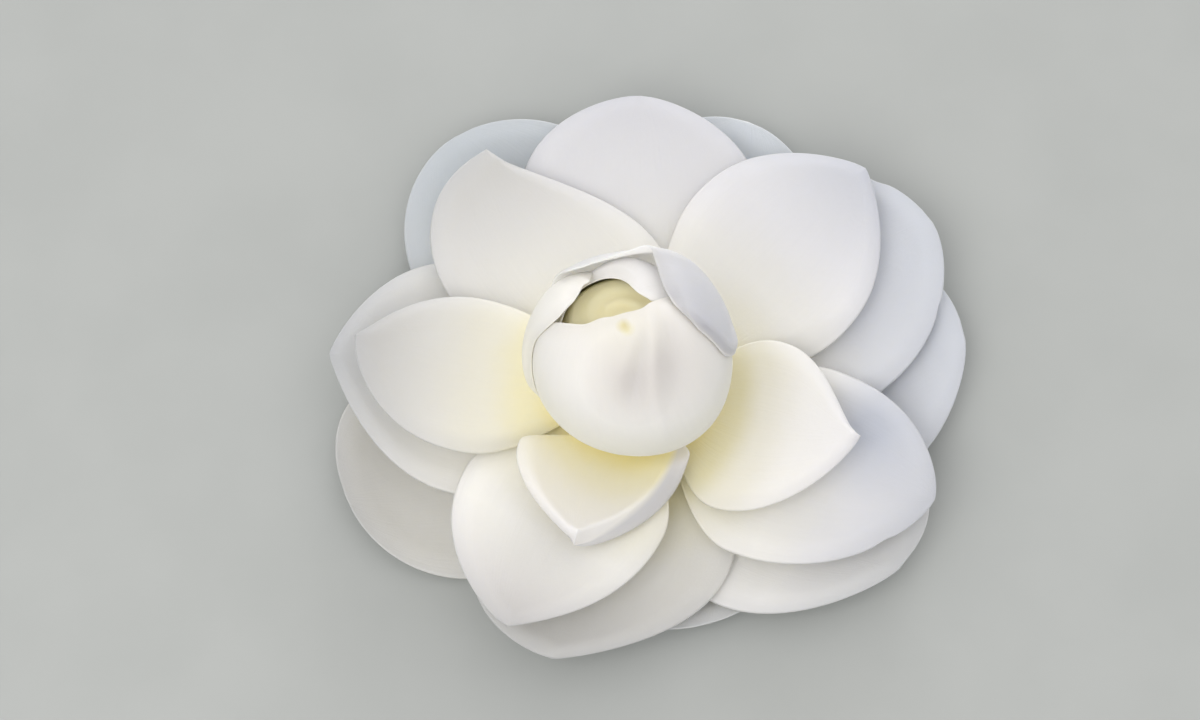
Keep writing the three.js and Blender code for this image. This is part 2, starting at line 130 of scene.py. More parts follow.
# Where the inner petal swells towards the back petal: azimuth, angle, their widths, height
INNER_SWELL = (76, 34, 46, 12, 1.7)
SWELL_FADE = 6  # degrees from its margin over which the swell sets in

# Furled middle of the bud, a ball with a bowl above
HEART_RADIUS = 12.2
HEART_RIM_ANGLE = 32
HEART_BOWL_DEPTH = 1.5
HEART_BOWL_CURVE = 2.5
HEART_FULL_SIDE = (140, 60, 1.4)  # azimuth, width and height where it fills the inner petal
HEART_FULL_FROM = 0.25  # share of its rings from which it fills out
HEART_FURL = 0.12  # height of the low ridges that coil in its bowl
HEART_COIL = (2, 0.4)  # number of ridges and their twist
# Angles over which they set in from the rim and from the middle
HEART_FURL_OUTER = (HEART_RIM_ANGLE + 6, HEART_RIM_ANGLE - 10)
HEART_FURL_INNER = (2, 12)
HEART_INSET = 0.3  # how far the whole of it is held in
HEART_RIM_AT = 0.6  # share of its rings that lie below the rim
HEART_LOWEST = 178  # angles where its rings begin and end
HEART_INNERMOST = 2
HEART_RINGS = 70
HEART_SIDES = 96

# Receptacle, sepals and stalk
COLUMN_RADIUS = 4.1
COLUMN_FOOT = 3.2
COLUMN_TOP = 15
NECK_FLARE = 0.75  # how far the top stands out round the petals' feet
FLARE_SHOULDER = (0.8, 0.15)  # share of that at its shoulder, and height over the column
FLARE_HIGH = 0.5  # height over the column where it stands out in full
NECK_RADIUS = 4
NECK_TOP = 16.8
TURNED_SIDES = 48
SOFT_CORNER = 0.25
STALK_RADIUS = 1.7
STALK_TOP = 2.3
STALK_END = 0.7
SEPAL_FOOT_RADIUS = 1.5
SEPAL_HEIGHTS = (4.5, 2.8)  # of their upper faces at foot and reach of the upper row
SEPAL_SOFTNESS = 0.5
SEPAL_FOOT_SHARE = 0.45  # its width at the foot, as a share of its widest
SEPAL_END_DENSE = 1.6  # how much closer rows lie near its end
SEPAL_CURVE = 2.4  # power of its rounded end
SEPAL_RIB = 0.04  # height of the ribs
SEPAL_RIB_RATE = 14
SEPAL_STEPS = 24
SepalRow = namedtuple("SepalRow", "count first_az reach half under")
SEPAL_ROWS = [SepalRow(5, 20, 13, 6.4, 0), SepalRow(5, 56, 9.4, 5, 0.4)]

# Open petals, highest first, as in the solids: left and right are (half width, where it is
# widest, fullness towards the tip, and how long it stays narrow at the foot, 1.15 where
# it isn't given) of the two sides. sag is how far the middle hangs below foot and tip, cup
# how far the margins stand up at (foot, tip), lip how far the outermost part of the margin
# rolls down, and fold how much further the left margin is folded down.
Petal = namedtuple("Petal", "name az reach sweep left right level tip sag cup lip fold", defaults=[0])
PETALS = [
    Petal("petal_cup_front", 250, 29.6, 0, (11.5, 0.25, 0.95, 1.15),
          (13.4, 0.5, 1.12, 5), 8, 20.6, 2.8, (5, 5), 1.6, 2.8),
    Petal("petal_inner_left", 178, 44, -5, (14.4, 0.6, 0.52),
          (11.4, 0.5, 1.05), 7, 17, 2, (0.5, 1.5), 0.8),
    Petal("petal_inner_front", 242, 44.6, 1, (14.4, 0.4, 1),
          (17.4, 0.5, 0.7), 6, 16, 2, (0.5, 1.5), 0.8),
    Petal("petal_inner_right", -22, 34.5, 3.5, (14, 0.42, 1.5),
          (15.3, 0.45, 0.74), 5, 16, 1.5, (0.5, 1.5), 0.8),
    Petal("petal_middle_right", -25, 48.2, 2, (15.4, 0.5, 0.7),
          (18.4, 0.42, 0.67), 4, 12, 2, (0.4, 1.2), 0.8),
    Petal("petal_inner_back_right", 43, 51, 2.5, (17.6, 0.55, 0.8),
          (15.3, 0.55, 0.84), 4, 13, 2, (0.4, 1.2), 0.8),
    Petal("petal_inner_back_left", 124, 46.3, -2, (16.9, 0.6, 0.42),
          (16.2, 0.28, 1.45), 3.5, 14, 2, (0.4, 1.2), 0.8),
    Petal("petal_middle_back", 88, 50.4, 1.5, (19.6, 0.6, 0.6),
          (18.6, 0.6, 0.62), 2.8, 11, 2.5, (0.4, 1.2), 0.8),
    Petal("petal_middle_front", 256, 44.7, -2.7, (20.6, 0.45, 0.9),
          (17.5, 0.6, 0.58), 3, 9, 2.5, (0.4, 1.2), 0.8),
    Petal("petal_outer_right", 31, 54.6, 1, (19.2, 0.6, 0.5),
          (18.8, 0.5, 0.62), 2, 9, 2.5, (0.4, 1.2), 0.8),
    Petal("petal_middle_left", 176, 48.5, -2.5, (18.8, 0.5, 0.88),
          (19.4, 0.55, 0.8), 2, 11, 2.5, (0.4, 1.2), 0.8),
    Petal("petal_outer_front_right", -40, 48, 4, (18, 0.6, 0.4),
          (19.8, 0.5, 0.75), 2, 7, 2.5, (0.4, 1.2), 0.8),
    Petal("petal_guard_back_left", 122, 54.2, 1, (19, 0.55, 0.56),
          (19.5, 0.6, 0.48), 1, 6, 3.5, (0.3, 1), 0.6),
    Petal("petal_guard_right", 8, 51.9, 3, (19, 0.6, 0.45),
          (20, 0.55, 0.67), 1, 6, 3.5, (0.3, 1), 0.6),
    Petal("petal_guard_back", 69, 51.6, 1, (17.4, 0.6, 0.5),
          (17, 0.6, 0.5), 0, 5, 5.3, (0.3, 1), 0.6),
    Petal("petal_guard_left", 201, 48, -2, (18.2, 0.55, 0.48),
          (19.5, 0.6, 0.45), 0, 5, 5.3, (0.3, 1), 0.6),
    Petal("petal_guard_front", 286, 37.4, 0, (16, 0.6, 0.5),
          (16, 0.6, 0.5), 0, 5, 5.3, (0.3, 1), 0.6),
]

# Small nicks in margins: side (1 left, -1 right), how far along, depth and length
Nick = namedtuple("Nick", "side along depth length")
NICKS = {
    "petal_guard_back_left": [Nick(1, 0.42, 0.5, 1.2)],
    "petal_outer_right": [Nick(1, 0.93, 0.7, 1.1), Nick(-1, 0.86, 0.3, 0.8)],
    "petal_middle_right": [Nick(-1, 0.9, 0.5, 1.2)],
    "petal_guard_left": [Nick(-1, 0.7, 0.4, 1.5)],
}

# Closed petals of the bud, outermost first, as in the solids but for the inner one's swell.
# margin is a list of (azimuth, angle from the opening, radius), belly of (azimuth, radius)
# at its widest below that, radius is its own low down, foot the azimuths of its two sides
# there and swing the angles between which the sides reach them, flare how late the blade
# turns to its margin's radius, and bow how far its last side is drawn back.
BudPetal = namedtuple("BudPetal", "name radius foot swing flare bow belly margin")
BUD_PETALS = [
    BudPetal("bud_back", 15.9, (34, 106), (72, 122), 3, 0,
             [(-14, 15.2), (0, 15.1), (12, 15), (30, 15.2), (60, 15.7), (90, 15.8), (112, 16.5),
              (140, 17.6)],
             [(-14, 55, 15.2), (-8, 43, 15.2), (4, 35.5, 15.2), (20, 31.5, 16), (36, 31, 17.3),
              (50, 31, 18.5), (60, 25, 17.8), (74, 21, 17.3), (92, 18.5, 17.1), (112, 19, 17.2),
              (128, 21, 17.5), (138, 28, 17.6)]),
    BudPetal("bud_left", 15.2, (115, 192), (80, 160), 4, -14,
             [(112, 15.3), (124, 15.6), (134, 16.6), (146, 17.4), (162, 17.6), (178, 17.6),
              (188, 17.25), (196, 16.7)],
             [(112, 34, 15.3), (122, 19, 16), (148, 15, 16.3), (176, 17, 16.2), (188, 20, 16.5),
              (196, 29, 16.7)]),
    BudPetal("bud_front", 14.4, (160, 385), (80, 160), 6, 0,
             [(150, 15.2), (176, 15.7), (194, 15.7), (212, 15.2), (228, 14.8), (244, 14.5),
              (320, 14.5), (346, 14.1), (370, 14)],
             [(150, 60, 15.2), (168, 48, 15.6), (182, 39, 15.7), (196, 31, 15.8), (210, 26, 15.6),
              (232, 21, 15), (254, 16, 14.7), (286, 15.5, 14.4), (314, 18, 14.4), (334, 23, 14.4),
              (354, 27, 14.1), (370, 36, 14)]),
    BudPetal("bud_inner", 13.1, (12, 170), (80, 160), 4, 0,
             [(0, 13.1), (30, 13.1), (46, 14.1), (64, 14.6), (90, 14.8), (104, 14.6), (116, 14.3),
              (140, 14.2), (184, 14.2), (200, 13.4)],
             [(4, 27, 13.1), (18, 21, 13.2), (40, 19, 13.3), (64, 21, 13.5), (90, 24, 13.9),
              (104, 24.5, 14.2), (120, 25, 14.4), (140, 27, 14.6), (165, 30, 14.6), (184, 38, 14.2),
              (196, 50, 13.5)]),
]


def rad(degrees):
    return np.radians(degrees)


def mix(a, b, f):
    return a + (b - a) * f


def smooth(low, high, v):
    f = np.clip((v - low) / (high - low), 0, 1)
    return f * f * (3 - 2 * f)


def bell(v, middle, width):
    return np.exp(-(((v - middle) / width) ** 2))


def soft_min(a, b, softness):
    h = np.clip(0.5 + 0.5 * (b - a) / softness, 0, 1)
    return mix(b, a, h) - softness * h * (1 - h)


def half_width(side, s):
    """Half width of a petal's side at s, where 0 is the foot and 1 the tip."""
    widest, where, fullness, narrow = (*side, FOOT_NARROW)[:4]
    rise = np.sin(np.pi / 2 * np.clip(s / where, 0, 1)) ** narrow
    u = np.clip((s - where) / (1 - where), 0, 1)
    past = widest * (1 - u**TIP_CURVE) ** fullness
    return np.where(s < where, mix(FOOT_HALF_WIDTH, widest, rise), past)


def petal_terms(petal, x, y):
    """A plan point in a petal's own terms: s along it, q across from its midline, edge, which
    is 1 on the outline, turn, 0 on its right and 1 on its left, and release, how much a petal
    below may rise there outside it."""
    a = math.radians(petal.az)
    along = x * math.cos(a) + y * math.sin(a)
    s = (along - FOOT_RADIUS) / (petal.reach - FOOT_RADIUS)
    held = np.clip(s, *ALONG_LIMITS)
    across = y * math.cos(a) - x * math.sin(a) - petal.sweep * held * held
    turn = smooth(-MIDLINE_BLEND, MIDLINE_BLEND, across)
    side = [mix(right, left, turn) for left, right in zip(petal.left, petal.right)]
    widest, where, fullness = side[:3]
    width = half_width(side, np.clip(s, 0, where))
    q = np.abs(across) / widest
    past = np.maximum((s - where) / (1 - where), 0)
    past_edge = (q ** (1 / fullness) + past**TIP_CURVE) ** fullness
    edge = np.where(s > where, past_edge, np.abs(across) / width)
    beside = np.maximum((edge - 1) * width, 0)
    behind = np.maximum(FOOT_RADIUS - along, 0)
    bend = mix(*RELEASE_BEND, smooth(*RELEASE_ALONG, s))
    release = beside**2 / (2 * bend) + behind**2 / (2 * FOOT_RELEASE_BEND)
    return held, q, edge, turn, release


def free_height(petal, s, q, edge, turn):
    """Height of a petal's upper face where nothing presses on it."""
    foot = FOOT_LOWEST + FOOT_STEP * petal.level
    run = mix(foot, petal.tip, s) - petal.sag * 4 * s * (1 - s)
    cup = mix(*petal.cup, np.clip(s, 0, 1)) * np.minimum(q, CUP_ENDS) ** 2
    rim = smooth(*ROLL_ALONG, s) * np.clip((edge - ROLL_FROM) / ROLL_WIDE, 0, 1)
    roll = petal.lip * rim * rim + petal.fold * rim * turn
    return run + cup - roll


def bud_underside(x, y):
    """Underside of the bud, which the open petals stay clear of."""
    r = np.hypot(x - BUD_CENTRE[0], y - BUD_CENTRE[1]) / BUD_REACH
    ball = BUD_CENTRE[2] - BUD_REACH * BUD_LOW_SQUASH * np.sqrt(np.maximum(1 - r * r, 0))
    return np.where(r < 1, ball, OPEN_SKY)


def pass_down(count, x, y):
    """Upper and lower faces of the count-th petal at plan points, and the roof below it."""
    step = 0.05
    spots = [(x, y), (x + step, y), (x, y + step)]
    roof = [bud_underside(px, py) - GAP for px, py in spots]
    faces = None
    for petal in PETALS[:count]:
        terms = [petal_terms(petal, px, py) for px, py in spots]
        free = [free_height(petal, *t[:4]) for t in terms]
        upper = [soft_min(height, r, PRESS_SOFTNESS) for height, r in zip(free, roof)]
        slope = np.hypot(upper[1] - upper[0], upper[2] - upper[0]) / step
        s, q = terms[0][:2]
        thick = mix(EDGE_THICK, FOOT_THICK, np.clip(1 - s, 0, 1) * np.clip(1 - q * q, 0, 1))
        drop = thick * np.hypot(1, np.minimum(slope, STEEPEST))
        faces = (upper[0], upper[0] - drop)
        room = [u - drop - GAP + release for u, (*_, release) in zip(upper, terms)]
        roof = [soft_min(r, m, ROOF_SOFTNESS) for r, m in zip(roof, room)]
    return faces, roof[0]


def margin_share(distance):
    """Share of a blade's full thickness at a distance from its margin."""
    inward = np.clip(distance / RIM_ROUND, 0, 1)
    rounded = np.sqrt(np.clip(1 - (1 - inward) ** 2, 0, 1))
    return rounded * mix(MARGIN_THIN, 1, smooth(0, MARGIN_WIDE, distance))


def dense_ends(count):
    """Steps from -1 to 1 that lie closer together towards both ends."""
    t = np.linspace(-1, 1, count + 1)
    return (1 - COLUMN_CROWDING) * t + COLUMN_CROWDING * t * (1.5 - 0.5 * t * t)


def blade(upper, lower, uv, pointed):
    """A closed blade from two grids of points in mm that meet along their whole outline. Its
    lower or inner face has its texture places one unit further along."""
    rows, columns = upper.shape[:2]
    grid = np.arange(rows * columns).reshape(rows, columns)
    outline = np.zeros((rows, columns), bool)
    outline[[0, -1]] = True
    outline[:, [0, -1]] = True
    second = np.where(outline, grid, grid + rows * columns)
    if pointed:
        grid[-1] = grid[-1, 0]
        second[-1] = grid[-1, 0]
    corners = [(0, 0), (1, 0), (1, 1), (0, 1)]
    faces = []
    places = []
    for layer, place in ((grid, uv), (second[::-1], uv[::-1] + (1, 0))):
        for i in range(rows - 1):
            for j in range(columns - 1):
                ring = [(int(layer[i + a, j + b]), place[i + a, j + b]) for a, b in corners]
                kept = [corner for k, corner in enumerate(ring) if corner[0] != ring[k - 1][0]]
                faces.append([v for v, _ in kept])
                places += [p for _, p in kept]
    points = np.concatenate([upper.reshape(-1, 3), lower.reshape(-1, 3)])
    return points, faces, np.array(places)


def make_piece(name, parts):
    """One piece from closed parts (points in mm, faces, texture places), in place of a node."""
    points = np.concatenate([part[0] for part in parts])
    faces = []
    start = 0
    for part_points, part_faces, _ in parts:
        faces += [[v + start for v in face] for face in part_faces]
        start += len(part_points)
    mesh = bpy.data.meshes.new("fine_" + name)
    mesh.from_pydata(((points - (*MIDDLE, 0)) * MM).tolist(), [], faces)
    layer = mesh.uv_layers.new(name="UVMap")
    layer.data.foreach_set("uv", np.concatenate([part[2] for part in parts]).ravel())
    piece = bpy.data.objects.new("fine_" + name, mesh)
    bpy.context.scene.collection.objects.link(piece)
    outward(piece)
    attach(piece, "root")
    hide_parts(name)
    return piece


def outward(piece):
    """Drops loose points of a closed mesh and turns all its faces outwards."""
    bm = bmesh.new()
    bm.from_mesh(piece.data)
    loose = [v for v in bm.verts if not v.link_faces]
    bmesh.ops.delete(bm, geom=loose, context="VERTS")
    bmesh.ops.recalc_face_normals(bm, faces=bm.faces)
    if bm.calc_volume(signed=True) < 0:
        bmesh.ops.reverse_faces(bm, faces=bm.faces)
    bm.to_mesh(piece.data)
    bm.free()
    piece.data.shade_smooth()


def nick_depth(petal, s, across):
    """How far nicks cut in from the margin at points of the grid."""
    cut = np.zeros_like(s)
    for nick in NICKS.get(petal.name, []):
        at = bell(s, nick.along, nick.length / petal.reach)
        cut += nick.depth * at * smooth(NICK_FROM, 1, across * nick.side)
    return cut


def open_petal(number):
    """An open petal, pressed down by all before it, with ripples towards its margin."""
    petal = PETALS[number]
    a = math.radians(petal.az)
    way = np.linspace(0, 1, PETAL_ROWS + 1)[:, None]
    across = dense_ends(PETAL_COLUMNS)[None, :]
    s = way - ROW_CROWDING * np.sin(2 * np.pi * way) / (2 * np.pi) + 0 * across
    across = across + 0 * s
    width = np.where(across > 0, half_width(petal.left, s), half_width(petal.right, s))
    width = np.maximum(width - nick_depth(petal, s, across), 0)
    along = mix(FOOT_RADIUS, petal.reach, s)
    off = petal.sweep * s * s + across * width
    x = along * math.cos(a) - off * math.sin(a)
    y = along * math.sin(a) + off * math.cos(a)
    (top, low), _ = pass_down(number + 1, x, y)
    low = np.maximum(low, 0)
    top = np.maximum(top, low + EDGE_THICK)
    edge = petal_terms(petal, x, y)[2]
    widest = np.where(across > 0, petal.left[0], petal.right[0])
    share = margin_share(np.minimum((1 - edge) * widest, along - FOOT_RADIUS))
    share[:, [0, -1]] = 0
    share[[0, -1], :] = 0
    middle = (top + low) / 2
    thick = (top - low) * share
    waves = sum(np.sin(rate * s + shift * number + slant * across) for rate, shift, slant in RIPPLE_WAVES)
    middle = middle + RIPPLE / 2 * waves * smooth(*RIPPLE_ACROSS, edge) * smooth(*RIPPLE_ALONG, s)
    middle = np.maximum(middle, thick / 2)
    upper = np.stack([x, y, middle + thick / 2], axis=-1)
    lower = np.stack([x, y, middle - thick / 2], axis=-1)
    uv = np.stack([0.5 + 0.5 * across, s], axis=-1)
    return make_piece(petal.name, [blade(upper, lower, uv, True)])


def bud_point(angle, az, radius):
    """A point of the bud: angle from its opening, azimuth round it, and radius. The lean and
    the bud's shift off the flower's axis fade from the opening down to the foot."""
    t, p = rad(angle), rad(az)
    v = np.stack([np.sin(t) * np.cos(p), np.sin(t) * np.sin(p), np.cos(t) + 0 * p], axis=-1)
    hinge = np.array([-math.sin(math.radians(BUD_LEAN_AZ)), math.cos(math.radians(BUD_LEAN_AZ)), 0])
    lean = (math.radians(BUD_LEAN) * (1 + np.cos(t + 0 * p)) / 2)[..., None]
    turned = v * np.cos(lean) + np.cross(hinge, v) * np.sin(lean)
    turned = turned + hinge * (v @ hinge)[..., None] * (1 - np.cos(lean))
    shift = smooth(*BUD_SHIFT_FADE, turned[..., 2])
    point = turned * np.asarray(radius)[..., None]
    point[..., 2] = np.where(point[..., 2] < 0, point[..., 2] * BUD_LOW_SQUASH, point[..., 2])
    point[..., 0] += BUD_CENTRE[0] * shift
    point[..., 1] += BUD_CENTRE[1] * shift
    point[..., 2] += BUD_CENTRE[2]
    return point


def smooth_line(points, at):
    """A soft curve through a few (place, value) points."""
    places = np.array([p[0] for p in points], float)
    values = np.array([p[1] for p in points], float)
    slopes = np.gradient(values, places)
    n = np.clip(np.searchsorted(places, at) - 1, 0, len(places) - 2)
    span = places[n + 1] - places[n]
    f = np.clip((at - places[n]) / span, 0, 1)
    a = (2 * f**3 - 3 * f**2 + 1) * values[n] + (f**3 - 2 * f**2 + f) * span * slopes[n]
    b = (3 * f**2 - 2 * f**3) * values[n + 1] + (f**3 - f**2) * span * slopes[n + 1]
    return a + b


def front_relief(az, angle):
    """A crease down the front petal between a groove and a hollow, a cheek to the left of
    them, and a dimple at its top."""
    off = az - smooth_line(CREASE_LINE, angle)
    crease = CREASE_HIGH * bell(off, *CREASE_ROUND)
    crease = crease * smooth(*CREASE_FROM_TOP, angle) * smooth(*CREASE_FROM_FOOT, angle)
    groove = -GROOVE_DEEP * bell(off, *GROOVE_ROUND) * bell(angle, *GROOVE_DOWN)
    hollow = -HOLLOW_DEEP * bell(off, *HOLLOW_ROUND) * bell(angle, *HOLLOW_DOWN)
    cheek = CHEEK_HIGH * bell(az, *CHEEK_ROUND) * bell(angle, *CHEEK_DOWN)
    dimple_angle, dimple_az = DIMPLE
    dimple = -DIMPLE_DEEP * bell(az, dimple_az, DIMPLE_WIDE) * bell(angle, dimple_angle, DIMPLE_WIDE)
    return crease + groove + hollow + cheek + dimple


def bud_petal(petal):
    """A closed petal, a shell with a thin margin that rolls outward."""
    way = 1 - (1 - np.linspace(0, 1, BUD_ROWS + 1)[:, None]) ** BUD_ROW_CROWDING
    across = dense_ends(BUD_COLUMNS)[None, :] + 0 * way
    turn = 0.5 + 0.5 * across
    first, last = petal.margin[0][0], petal.margin[-1][0]
    at_margin = mix(first, last, turn)
    top = smooth_line([(az, angle) for az, angle, _ in petal.margin], at_margin)
    rim = smooth_line([(az, radius) for az, _, radius in petal.margin], at_margin)
    angle = mix(BUD_FOOT_ANGLE, top, way)
    bow = petal.bow * turn**3 * bell(angle, *BUD_BOW)
    az = mix(at_margin, mix(*petal.foot, turn), smooth(*petal.swing, angle)) + bow
    body = mix(smooth_line(petal.belly, at_margin), petal.radius, smooth(*BUD_LOW_PART, angle))
    if petal.name == "bud_front":
        body = body + front_relief(az, angle)
    radius = mix(body, rim, way**petal.flare)
    if petal.name == "bud_inner":
        swell_az, swell_angle, wide, long, high = INNER_SWELL
        swell = high * bell(az, swell_az, wide) * bell(angle, swell_angle, long)
        radius = radius + swell * smooth(0, SWELL_FADE, angle - top)
    round_it = rad(last - first) / 2 * petal.radius * np.sin(rad(angle))
    to_edge = np.minimum(rad(angle - top) * petal.radius, (1 - np.abs(across)) * round_it)
    share = margin_share(to_edge)
    share[:, [0, -1]] = 0
    share[[0, -1], :] = 0
    roll = smooth_line(BUD_CURL.get(petal.name, [(0, 0), (1, 0)]), at_margin)
    curl = roll * smooth(BUD_CURL_WIDE, 0, to_edge)
    thick = BUD_PETAL_THICK * share
    middle = radius - BUD_PETAL_THICK / 2 + curl
    outer = bud_point(angle, az, middle + thick / 2)
    inner = bud_point(angle, az, middle - thick / 2)
    uv = np.stack([turn, way + 0 * turn], axis=-1)
    return make_piece(petal.name, [blade(outer, inner, uv, False)])


def ring_faces(rings, sides):
    """Faces between rings of points, closed by a face at both ends."""
    last = (rings - 1) * sides
    faces = [list(range(sides)), list(range(last, last + sides))]
    for i in range(rings - 1):
        for k in range(sides):
            m = (k + 1) % sides
            faces.append([i * sides + k, i * sides + m, (i + 1) * sides + m, (i + 1) * sides + k])
    return faces


def rounded_part(points):
    """A closed part from rings of points."""
    faces = ring_faces(*points.shape[:2])
    corners = sum(len(face) for face in faces)
    return points.reshape(-1, 3), faces, np.zeros((corners, 2))


def bud_heart():
    """The furled middle of the bud: a ball with a bowl above, coiled by low ridges."""
    f = np.linspace(0, 1, HEART_RINGS + 1)[:, None]
    az = np.linspace(0, 360, HEART_SIDES, endpoint=False)[None, :]
    below = mix(HEART_LOWEST, HEART_RIM_ANGLE, f / HEART_RIM_AT)
    within = mix(HEART_RIM_ANGLE, HEART_INNERMOST, (f - HEART_RIM_AT) / (1 - HEART_RIM_AT))
    angle = np.where(f < HEART_RIM_AT, below, within) + 0 * az
    az = az + 0 * angle
    to_rim = np.minimum(angle, HEART_RIM_ANGLE) / HEART_RIM_ANGLE
    bowl = HEART_BOWL_DEPTH * (1 - to_rim**HEART_BOWL_CURVE)
    ridges, twist = HEART_COIL
    coil = np.sin(ridges * rad(az) + twist * angle)
    in_bowl = smooth(*HEART_FURL_OUTER, angle) * smooth(*HEART_FURL_INNER, angle)
    furl = HEART_FURL * coil * in_bowl
    full_az, full_wide, full_high = HEART_FULL_SIDE
    side = full_high * bell(az, full_az, full_wide) * smooth(HEART_FULL_FROM, HEART_RIM_AT, f)
    side = side * np.minimum(angle / HEART_RIM_ANGLE, 1)
    points = bud_point(angle, az, HEART_RADIUS + side - bowl - HEART_INSET + furl)
    return make_piece("bud_heart", [rounded_part(points)])


def turned_part(profile, sides):
    """A closed part turned round the flower's axis from (radius, height) points."""
    az = rad(np.linspace(0, 360, sides, endpoint=False))
    rings = [np.stack([r * np.cos(az), r * np.sin(az), z + 0 * az], axis=-1) for r, z in profile]
    return rounded_part(np.array(rings))


def sepal(row, az):
    """A rounded sepal pressed up under the petals, with a thin margin and low ribs."""
    a = math.radians(az)
    way = np.linspace(0, 1, SEPAL_STEPS + 1)[:, None]
    across = dense_ends(SEPAL_STEPS)[None, :] + 0 * way
    s = 1 - (1 - way) ** SEPAL_END_DENSE + 0 * across
    near_foot = mix(SEPAL_FOOT_SHARE, 1, np.sin(np.pi * np.minimum(s, 0.5)))
    wide = np.where(s < 0.5, near_foot, (1 - np.abs(2 * s - 1) ** SEPAL_CURVE) ** 0.5)
    along = mix(SEPAL_FOOT_RADIUS, row.reach, s)
    off = across * row.half * wide
    x = along * math.cos(a) - off * math.sin(a)
    y = along * math.sin(a) + off * math.cos(a)
    out = (np.hypot(x, y) - SEPAL_FOOT_RADIUS) / (SEPAL_ROWS[0].reach - SEPAL_FOOT_RADIUS)
    roof = pass_down(len(PETALS), x, y)[1]
    top = soft_min(mix(*SEPAL_HEIGHTS, out), roof, SEPAL_SOFTNESS) - row.under
    share = margin_share(np.minimum((1 - np.abs(across)) * row.half, (1 - s) * row.reach))
    share[:, [0, -1]] = 0
    share[-1, :] = 0
    ribs = SEPAL_RIB * np.cos(SEPAL_RIB_RATE * across) * share
    upper = np.stack([x, y, top - EDGE_THICK * (1 - share) / 2], axis=-1)
    lower = np.stack([x, y, top - EDGE_THICK * (1 + share) / 2 + ribs], axis=-1)
    uv = np.stack([0.5 + 0.5 * across, s], axis=-1)
    return blade(upper, lower, uv, True)


def calyx():
    """Receptacle, cut stalk and sepals."""
    stalk = [(STALK_RADIUS - SOFT_CORNER, STALK_END), (STALK_RADIUS, STALK_END + SOFT_CORNER)]
    column = [(STALK_RADIUS, STALK_TOP), (COLUMN_RADIUS, COLUMN_FOOT)]
    share, high = FLARE_SHOULDER
    neck = [(COLUMN_RADIUS, COLUMN_TOP - SOFT_CORNER),
            (COLUMN_RADIUS + share * NECK_FLARE, COLUMN_TOP + high),
            (COLUMN_RADIUS + NECK_FLARE, COLUMN_TOP + FLARE_HIGH), (NECK_RADIUS, NECK_TOP)]
    parts = [turned_part(stalk + column + neck, TURNED_SIDES)]
    for row in SEPAL_ROWS:
        parts += [sepal(row, row.first_az + 360 * n / row.count) for n in range(row.count)]
    return make_piece("calyx", parts)


# Materials, with lengths in metres


def graph(name):
    """A new material, its node tree and its main shader."""
    material = bpy.data.materials.new(name)
    material.use_nodes = True
    tree = material.node_tree
    return material, tree, tree.nodes["Principled BSDF"]


def node(tree, kind, **values):
    new = tree.nodes.new(kind)
    for key, value in values.items():
        setattr(new, key, value)
    return new


def ramp(tree, fac, stops):
    """A colour from a value by (place, colour) stops, with soft steps between them."""
    new = node(tree, "ShaderNodeValToRGB")
    new.color_ramp.interpolation = "EASE"
    items = new.color_ramp.elements
    while len(items) < len(stops):
        items.new(0.5)
    for item, (place, color) in zip(items, stops):
        item.position = place
        item.color = (*color, 1)
    tree.links.new(fac, new.inputs["Fac"])
    return new.outputs["Color"]


def math_node(tree, operation, *inputs):
    new = node(tree, "ShaderNodeMath", operation=operation)
    for socket, value in zip(new.inputs, inputs):
        if isinstance(value, (int, float)):
            socket.default_value = value
        else:
            tree.links.new(value, socket)
    return new.outputs[0]


def spread(tree, value, low, high):
    """A value's place between two limits, 0 to 1."""
    new = node(tree, "ShaderNodeMapRange")
    tree.links.new(value, new.inputs["Value"])
    new.inputs["From Min"].default_value = low
    new.inputs["From Max"].default_value = high
    return new.outputs["Result"]


def blend(tree, fac, first, second):
    """Goes from the first to the second colour by a value or another node's output."""
    new = node(tree, "ShaderNodeMix", data_type="RGBA")
    for socket, value in ((new.inputs[0], fac), (new.inputs[6], first), (new.inputs[7], second)):
        if isinstance(value, tuple):
            socket.default_value = (*value, 1)
        else:
            tree.links.new(value, socket)
    return new.outputs[2]


def noise(tree, vector, scale, detail=3, rough=0.5):
    new = node(tree, "ShaderNodeTexNoise")
    new.inputs["Scale"].default_value = scale
    new.inputs["Detail"].default_value = detail
    new.inputs["Roughness"].default_value = rough
    tree.links.new(vector, new.inputs["Vector"])
    return new.outputs["Fac"]


def object_place(tree):
    return node(tree, "ShaderNodeTexCoord").outputs["Object"]


def height_of(tree, place):
    split = node(tree, "ShaderNodeSeparateXYZ")
    tree.links.new(place, split.inputs[0])
    return split.outputs["Z"]


def blade_place(tree):
    """Way across a blade, 0 to 1 on its upper face and 1 to 2 on its lower, and way along."""
    place = node(tree, "ShaderNodeTexCoord").outputs["UV"]
    split = node(tree, "ShaderNodeSeparateXYZ")
    tree.links.new(place, split.inputs[0])
    return place, split.outputs["X"], split.outputs["Y"]


def distance_from(tree, place, centre):
    """Distance of a place from a point given in mm from the flower's axis."""
    shift = node(tree, "ShaderNodeVectorMath", operation="SUBTRACT")
    tree.links.new(place, shift.inputs[0])
    x, y, z = centre
    shift.inputs[1].default_value = ((x - MIDDLE[0]) * MM, (y - MIDDLE[1]) * MM, z * MM)
    length = node(tree, "ShaderNodeVectorMath", operation="LENGTH")
    tree.links.new(shift.outputs[0], length.inputs[0])
    return length.outputs["Value"]


def veins(tree, place, across, along):
    """Fine uneven lines that fan out from a blade's foot to its margin."""
    stretch = node(tree, "ShaderNodeMapping")
    stretch.inputs["Scale"].default_value = (across, along, 1)
    tree.links.new(place, stretch.inputs["Vector"])
    return noise(tree, stretch.outputs["Vector"], scale=1, detail=4, rough=0.6)


